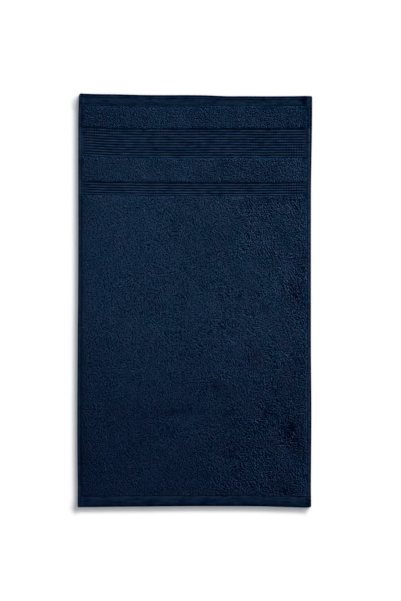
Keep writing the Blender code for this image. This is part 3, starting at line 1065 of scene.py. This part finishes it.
def makeBackPile(pattern, material, random):
    parts = [feetOfZone(k, backPile["pitch"], random) for k in (1, 3, 5)]
    across, along, inset = (np.concatenate([part[n] for part in parts]) for n in range(3))
    x, y = clothPlace(across, along)
    grain, *_, heading = furrows(x + 0.5, y + 0.3)
    count = len(x)
    full = np.interp(inset, [0.0, 1.5 * mm], [backPile["edgeHeight"], 1.0])
    high = np.full(count, ground["terryUnder"] + backPile["height"])
    tall = high * full / loopShape["height"]
    yaw = heading + random.normal(0, pile["turnSpread"], count)
    turns = np.stack([np.full(count, math.pi), 0 * yaw, yaw], axis=1)
    longs, wides = (random.uniform(*backPile[size], count) for size in ("lengths", "widths"))
    sizes = np.stack([longs, wides, tall], axis=1)
    tones = backPile["tone"] + backPile["grainTone"] * grain
    tones = tones + random.normal(0, backPile["loopTone"], count)
    places = np.stack([x, y, high], axis=1)
    piece = scatter("pileUnderside", pattern, places, turns, sizes, tones, 0 * x, 0 * x + backPile["shade"])
    layBakeMap(piece, span=0.73)
    finishPiece(piece, material)
    print("pile: underside", count, "loops,", len(piece.data.polygons), "faces")
    return piece


# hem sewing: one stitch is modelled, and set along every hem line
stitch = {
    "length": 2.3 * mm,
    "pitch": 2.9 * mm,
    "thread": 0.24 * mm,  # half its thickness
    "cornerGap": 2.5 * mm,  # from the cloth's side to the sewing of an end hem
    "sideGap": 2.0 * mm,  # from an end hem's sewing to that of a side hem
    "height": 2.15 * mm,
    "overHeight": 2.5 * mm,  # in a corner, where hems lie on each other
    "corner": (192 * mm, 332 * mm),  # beyond these x and y
    "underHeight": 0.32 * mm,
    "tone": (0.15, 0.30),  # darkest, and how much a strand adds
    "strand": 900.0,  # noise scale
    "turnSpread": 0.05,  # radians
    "tiltSpread": 0.02,
    "sizes": (0.9, 1.05),
}


def makeThreadMaterial():
    material, shader, wire = startMaterial("navy_sewing_thread", roughness=0.9, specular=0.02)
    place = wire.node("ShaderNodeTexCoord", output=3)
    darkest, added = stitch["tone"]
    tone = wire.noise(place, stitch["strand"], 1.0) * added + darkest
    feed(dyedColour(wire, tone, dye["ground"]), shader, "Base Color")
    return material


def modelStitch():
    clearSelection()
    bpy.ops.mesh.primitive_uv_sphere_add(
        segments=5, ring_count=4, radius=stitch["length"] / 2, rotation=(0, math.radians(90), 0),
    )
    piece = startPiece("stitchPattern")
    bpy.ops.object.transform_apply(location=False, rotation=True, scale=False)
    slim = stitch["thread"] / (stitch["length"] / 2)
    bpy.ops.object.mode_set(mode="EDIT")
    bpy.ops.mesh.select_all(action="SELECT")
    bpy.ops.transform.resize(value=(1, slim, slim), center_override=(0, 0, 0))
    bpy.ops.object.mode_set(mode="OBJECT")
    piece.data.shade_smooth()
    return piece


def seamLine(acrossEnds, alongEnds, random):
    length = math.hypot(acrossEnds[1] - acrossEnds[0], alongEnds[1] - alongEnds[0])
    count = round(length / stitch["pitch"])
    share = (np.arange(count) + 0.5) / count
    across = acrossEnds[0] + (acrossEnds[1] - acrossEnds[0]) * share
    along = alongEnds[0] + (alongEnds[1] - alongEnds[0]) * share
    x, y = clothPlace(across, along)
    stepAcross, stepAlong = ((ends[1] - ends[0]) * 0.001 for ends in (acrossEnds, alongEnds))
    nextX, nextY = clothPlace(across + stepAcross, along + stepAlong)
    turn = np.arctan2(nextY - y, nextX - x) + random.normal(0, stitch["turnSpread"], count)
    return x, y, turn


def makeSewing(pattern, material, random):
    top = starts[1] - cloth["zones"][0][3]
    low = starts[6] + cloth["zones"][6][3]
    left = cloth["leftHem"] - cloth["sideStitch"]
    right = clothWidth - cloth["rightHem"] + cloth["sideStitch"]
    acrossEnds = stitch["cornerGap"], clothWidth - stitch["cornerGap"]
    alongEnds = top + stitch["sideGap"], low - stitch["sideGap"]
    lines = [
        seamLine(acrossEnds, (top, top), random),
        seamLine(acrossEnds, (low, low), random),
        seamLine((left, left), alongEnds, random),
        seamLine((right, right), alongEnds, random),
    ]
    x, y, turn = (np.concatenate([line[n] for line in lines]) for n in range(3))
    inCorner = (np.abs(x) > stitch["corner"][0]) & (np.abs(y) > stitch["corner"][1])
    high = np.where(inCorner, stitch["overHeight"], stitch["height"])
    x, y, turn = np.tile(x, 2), np.tile(y, 2), np.tile(turn, 2)
    high = np.concatenate([high, 0 * high + stitch["underHeight"]])
    count = len(x)
    turns = np.stack([0 * x, random.normal(0, stitch["tiltSpread"], count), turn], axis=1)
    sizes = random.uniform(*stitch["sizes"], (count, 3))
    places = np.stack([x, y, high], axis=1)
    piece = scatter("hemSewing", pattern, places, turns, sizes, 0 * x, 0 * x, 0 * x + 1)
    layBakeMap(piece, span=0.73)
    finishPiece(piece, material)
    print("sewing:", count, "stitches,", len(piece.data.polygons), "faces")
    return piece


# floor, light and camera
studio = {
    "floorSize": 14.0,
    "floorLow": -0.05 * mm,
    "floorColour": (0.75, 0.75, 0.75, 1.0),
    "fill": 0.515,
    "fillColour": (0.96, 1.0, 1.05, 1.0),
    "keyColour": (1.0, 0.99, 0.975),
    "keys": [(25, 9.5, 5.6, 0.54), (45, 9.7, 5.4, 1.05), (64, 9.8, 6.0, 1.09)],
    "cameraPlace": (9.9 * mm, 0, 2.440),
    "lens": 85,
    "sensorWidth": 36,
}


# one wide window as three suns: direction from +X towards +Y, elevation, width, strength on the floor
def sunLight(number, azimuth, elevation, width, onFloor):
    bpy.ops.object.light_add(type="SUN", location=(1, 1, 1))
    light = bpy.context.active_object
    light.name = "key" + str(number)
    light.data.angle = math.radians(width)
    light.data.energy = onFloor / math.sin(math.radians(elevation))
    light.data.color = studio["keyColour"]
    light.rotation_euler = (0, math.radians(90 - elevation), math.radians(azimuth))


def makeStudio():
    clearSelection()
    bpy.ops.mesh.primitive_plane_add(size=studio["floorSize"], location=(0, 0, studio["floorLow"]))
    floor = startPiece("studioFloor")
    material, shader, _ = startMaterial("studio_white", roughness=0.9, specular=0.1)
    shader.inputs["Base Color"].default_value = studio["floorColour"]
    floor.data.materials.append(material)
    scene = bpy.context.scene
    scene.world = bpy.data.worlds.new("studioWorld")
    scene.world.use_nodes = True
    background = scene.world.node_tree.nodes["Background"]
    background.inputs["Color"].default_value = studio["fillColour"]
    background.inputs["Strength"].default_value = studio["fill"]
    for number, key in enumerate(studio["keys"]):
        sunLight(number, *key)
    bpy.ops.object.camera_add(location=studio["cameraPlace"], rotation=(0, 0, 0))
    camera = bpy.context.active_object
    camera.data.lens = studio["lens"]
    camera.data.sensor_width = studio["sensorWidth"]
    scene.camera = camera
    scene.view_settings.view_transform = "Standard"
    print("studio ready")


random = np.random.default_rng(cloth["seed"])
terryMaterial = makePileMaterial()
sheet = makeSheet(makeGroundMaterial())
loopPattern = modelLoop()
fieldPile = makePile(["pileField1", "pileField2", "pileField3"], (5,), loopPattern, terryMaterial, random)
bandPile = makePile(["pileBands"], (1, 3), loopPattern, terryMaterial, random)
underPile = makeBackPile(loopPattern, terryMaterial, random)
stitchPattern = modelStitch()
sewing = makeSewing(stitchPattern, makeThreadMaterial(), random)
for pattern in (loopPattern, stitchPattern):
    bpy.data.objects.remove(pattern)
makeStudio()
